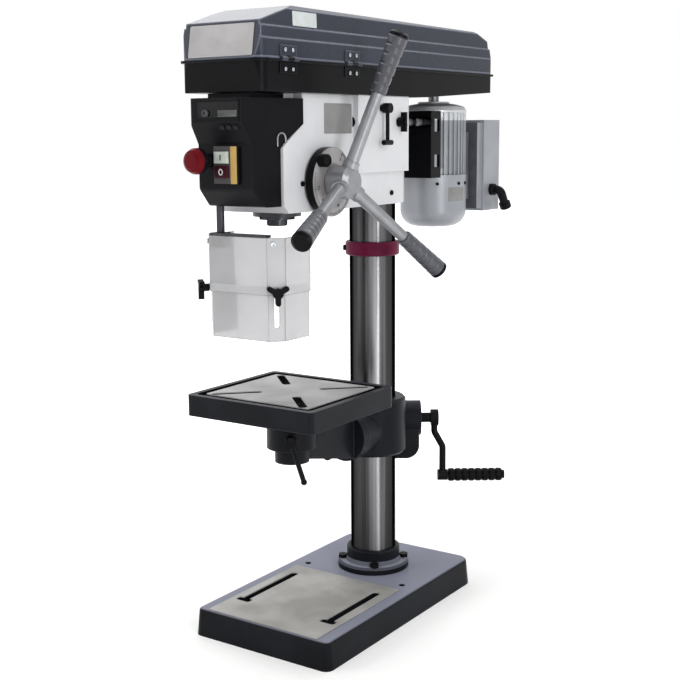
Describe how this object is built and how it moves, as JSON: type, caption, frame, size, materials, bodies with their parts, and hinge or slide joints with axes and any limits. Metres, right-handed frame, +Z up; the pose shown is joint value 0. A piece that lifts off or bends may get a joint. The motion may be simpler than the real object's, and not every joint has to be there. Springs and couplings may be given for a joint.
{
  "type": "bench drill",
  "caption": "Bench drilling machine with ribbed base, round column, rack-lifted tilting table, hand feed, belt hood, rear motor and clear chuck guard.",
  "frame": {"origin": "the column axis on the floor, under the middle of the column boss", "axes": "+X to the operator's right, +Y to the rear, +Z up along the column"},
  "size_m": [0.3224, 0.8104, 1.004],
  "materials": {
    "paint_dark": "dark textured paint",
    "paint_white": "off-white paint",
    "ground_iron": "ground",
    "steel": "turned",
    "bright_steel": "ground and polished",
    "collar_red": "red paint",
    "sheet_dark": "anthracite powder coat",
    "sheet_black": "black powder coat",
    "black_plastic": "moulded",
    "grey_plastic": "moulded",
    "red_plastic": "moulded",
    "pale_plastic": "moulded",
    "yellow_plate": "moulded",
    "display": "window",
    "rubber_black": "V-belt",
    "motor_grey": "silver-grey paint",
    "motor_sheet": "silver-grey paint",
    "aluminium": "turned",
    "clear_screen": "clear polycarbonate"
  },
  "bodies": {
    "frame": {"base_plate": "paint_dark", "column_flange": "paint_dark", "flange_bolts": "steel", "column": "bright_steel", "rack_collar": "collar_red", "head_casting": "paint_white", "head_set_screws": "steel", "front_cover": "black_plastic", "display_panel": "display", "switch_plate": "yellow_plate", "pulley_pan": "sheet_black", "sleeve_bearings": "steel", "spring_cap": "black_plastic", "return_spring": "steel", "drive_belt": "rubber_black", "hinge_pan_leaves": "sheet_black"},
    "lid": {"hood_lid": "sheet_dark", "hinge_lid_leaves": "sheet_dark"},
    "quill": {"quill": "steel", "quill_bearings": "steel"},
    "spindle": {"spindle": "steel"},
    "drive": {"drive_sleeve": "steel", "spindle_pulley": "aluminium"},
    "feed": {"feed_shaft": "steel", "feed_hub": "steel", "feed_spokes": "steel", "feed_grips": "grey_plastic", "feed_grip_caps": "black_plastic"},
    "depth": {"depth_ring": "black_plastic"},
    "depth_knob": {"depth_knob": "black_plastic"},
    "estop": {"estop_button": "red_plastic"},
    "start": {"start_button": "pale_plastic"},
    "stop": {"stop_button": "red_plastic"},
    "guard": {"guard_post": "steel", "guard_clamp": "aluminium", "guard_upper": "clear_screen"},
    "guard_slider": {"guard_lower": "clear_screen"},
    "guard_knob_l": {"guard_knob_left": "black_plastic"},
    "guard_knob_r": {"guard_knob_right": "black_plastic"},
    "rack": {"lift_rack": "steel"},
    "bracket": {"table_bracket": "paint_dark"},
    "clamp": {"column_clamp_lever": "steel"},
    "crank": {"crank_shaft": "steel", "crank_arm": "steel"},
    "crank_handle": {"crank_grip": "black_plastic"},
    "arm": {"table_arm": "paint_dark", "tilt_bolt": "steel"},
    "table_lock": {"table_lock_lever": "steel"},
    "table": {"work_table": "ground_iron"},
    "motor": {"motor_plate": "sheet_black", "slide_rods": "bright_steel", "motor_housing": "motor_grey", "fan_cowl": "motor_sheet", "motor_bearings": "steel", "terminal_box": "motor_sheet", "cable_gland": "black_plastic"},
    "rotor": {"motor_rotor": "steel", "motor_pulley": "aluminium"},
    "tension": {"tension_lever": "steel"},
    "motor_lock": {"motor_lock_screw": "black_plastic"}
  },
  "joints": [
    {"name": "lid_hinge", "type": "hinge", "parent": "frame", "child": "lid", "pos_m": [0.0788, -0.257, 0.926], "axis": [0, 1, 0], "range_deg": [0, 70]},
    {"name": "quill_feed", "type": "slide", "parent": "frame", "child": "quill", "axis": [0, 0, 1], "range_m": [-0.08, 0], "stiffness_N_per_m": 200, "springref_m": 0.3},
    {"name": "feed_turn", "type": "hinge", "parent": "frame", "child": "feed", "pos_m": [0, -0.23483, 0.747], "axis": [1, 0, 0], "range_deg": [0, 376]},
    {"name": "depth_turn", "type": "hinge", "parent": "feed", "child": "depth", "pos_m": [0.073, -0.23483, 0.747], "axis": [1, 0, 0], "continuous": true},
    {"name": "depth_knob_turn", "type": "hinge", "parent": "depth", "child": "depth_knob", "pos_m": [0.088, -0.26809, 0.78026], "axis": [1, 0, 0], "range_deg": [-180, 180]},
    {"name": "spindle_spin", "type": "hinge", "parent": "quill", "child": "spindle", "pos_m": [0, -0.273, 0.69], "axis": [0, 0, 1], "continuous": true},
    {"name": "drive_spin", "type": "hinge", "parent": "frame", "child": "drive", "pos_m": [0, -0.273, 0.9], "axis": [0, 0, 1], "continuous": true},
    {"name": "motor_slide", "type": "slide", "parent": "frame", "child": "motor", "axis": [0, 1, 0], "range_m": [-0.012, 0], "deforming": ["drive_belt"]},
    {"name": "motor_spin", "type": "hinge", "parent": "motor", "child": "rotor", "pos_m": [0, 0.211, 0.8], "axis": [0, 0, 1], "continuous": true},
    {"name": "tension_turn", "type": "hinge", "parent": "frame", "child": "tension", "pos_m": [0.084, -0.084, 0.86], "axis": [1, 0, 0], "range_deg": [-46, 0]},
    {"name": "motor_lock_turn", "type": "hinge", "parent": "frame", "child": "motor_lock", "pos_m": [0.08, -0.031, 0.838], "axis": [1, 0, 0], "range_deg": [-90, 90]},
    {"name": "estop_press", "type": "slide", "parent": "frame", "child": "estop", "axis": [0, 1, 0], "range_m": [0, 0.005], "stiffness_N_per_m": 500},
    {"name": "start_press", "type": "slide", "parent": "frame", "child": "start", "axis": [0, 1, 0], "range_m": [0, 0.003], "stiffness_N_per_m": 300},
    {"name": "stop_press", "type": "slide", "parent": "frame", "child": "stop", "axis": [0, 1, 0], "range_m": [0, 0.003], "stiffness_N_per_m": 300},
    {"name": "guard_swing", "type": "hinge", "parent": "frame", "child": "guard", "pos_m": [-0.042, -0.359, 0.7], "axis": [0, 0, -1], "range_deg": [0, 100]},
    {"name": "guard_slide", "type": "slide", "parent": "guard", "child": "guard_slider", "axis": [0, 0, 1], "range_m": [0, 0.05]},
    {"name": "guard_knob_left_turn", "type": "hinge", "parent": "guard", "child": "guard_knob_l", "pos_m": [-0.065, -0.362, 0.589], "axis": [-0.7071, -0.7071, 0], "range_deg": [-180, 180]},
    {"name": "guard_knob_right_turn", "type": "hinge", "parent": "guard", "child": "guard_knob_r", "pos_m": [0.065, -0.362, 0.589], "axis": [0.7071, -0.7071, 0], "range_deg": [-180, 180]},
    {"name": "table_swing", "type": "hinge", "parent": "frame", "child": "rack", "pos_m": [0, 0, 0.3], "axis": [0, 0, -1], "range_deg": [-90, 90]},
    {"name": "table_lift", "type": "slide", "parent": "rack", "child": "bracket", "axis": [0, 0, 1], "range_m": [-0.14, 0.09]},
    {"name": "crank_turn", "type": "hinge", "parent": "bracket", "child": "crank", "pos_m": [-0.03688, 0.05267, 0.303], "axis": [0.8192, 0.5736, 0], "range_deg": [-536, 345]},
    {"name": "crank_grip_spin", "type": "hinge", "parent": "crank", "child": "crank_handle", "pos_m": [-0.03688, 0.05267, 0.1935], "axis": [0.8192, 0.5736, 0], "continuous": true},
    {"name": "column_clamp_turn", "type": "hinge", "parent": "bracket", "child": "clamp", "pos_m": [-0.076, 0, 0.3], "axis": [1, 0, 0], "range_deg": [-60, 60]},
    {"name": "table_tilt", "type": "hinge", "parent": "bracket", "child": "arm", "pos_m": [0, -0.077, 0.305], "axis": [0, 1, 0], "range_deg": [-45, 45]},
    {"name": "table_lock_turn", "type": "hinge", "parent": "arm", "child": "table_lock", "pos_m": [0.0304, -0.28641, 0.34], "axis": [0.5736, -0.8192, 0], "range_deg": [-60, 60]},
    {"name": "table_turn", "type": "hinge", "parent": "arm", "child": "table", "pos_m": [0, -0.243, 0.34], "axis": [0, 0, 1], "continuous": true}
  ],
  "couplings": [
    {"joint": "feed_turn", "follows": "quill_feed", "rad_per_m": -81.633},
    {"joint": "spindle_spin", "follows": "drive_spin", "ratio": 1},
    {"joint": "motor_spin", "follows": "drive_spin", "ratio": 1.155},
    {"joint": "tension_turn", "follows": "motor_slide", "rad_per_m": 65.45},
    {"joint": "crank_turn", "follows": "table_lift", "rad_per_m": 66.667}
  ]
}
